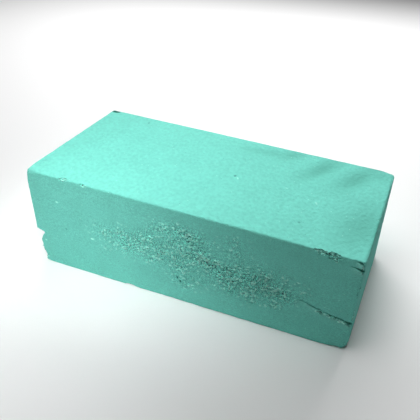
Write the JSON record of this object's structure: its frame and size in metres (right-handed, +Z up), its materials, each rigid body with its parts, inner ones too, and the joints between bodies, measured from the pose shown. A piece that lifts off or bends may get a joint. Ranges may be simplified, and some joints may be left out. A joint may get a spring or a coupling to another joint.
{
  "type": "floral foam brick",
  "caption": "Rectangular block of dry green floral foam with sawn faces and a flat base, for soaking and holding cut stems; its edges are lightly chipped and cracked.",
  "frame": {"origin": "middle of the footprint, on the surface that the brick stands on", "axes": "+X along the brick's length, +Y from its front face to its back face, +Z up"},
  "size_m": [0.2318, 0.1088, 0.075],
  "materials": {
    "dry_foam": "matte, fine open-celled phenolic foam, dry"
  },
  "bodies": {
    "root": {"foam_brick": "dry_foam"}
  },
  "joints": []
}
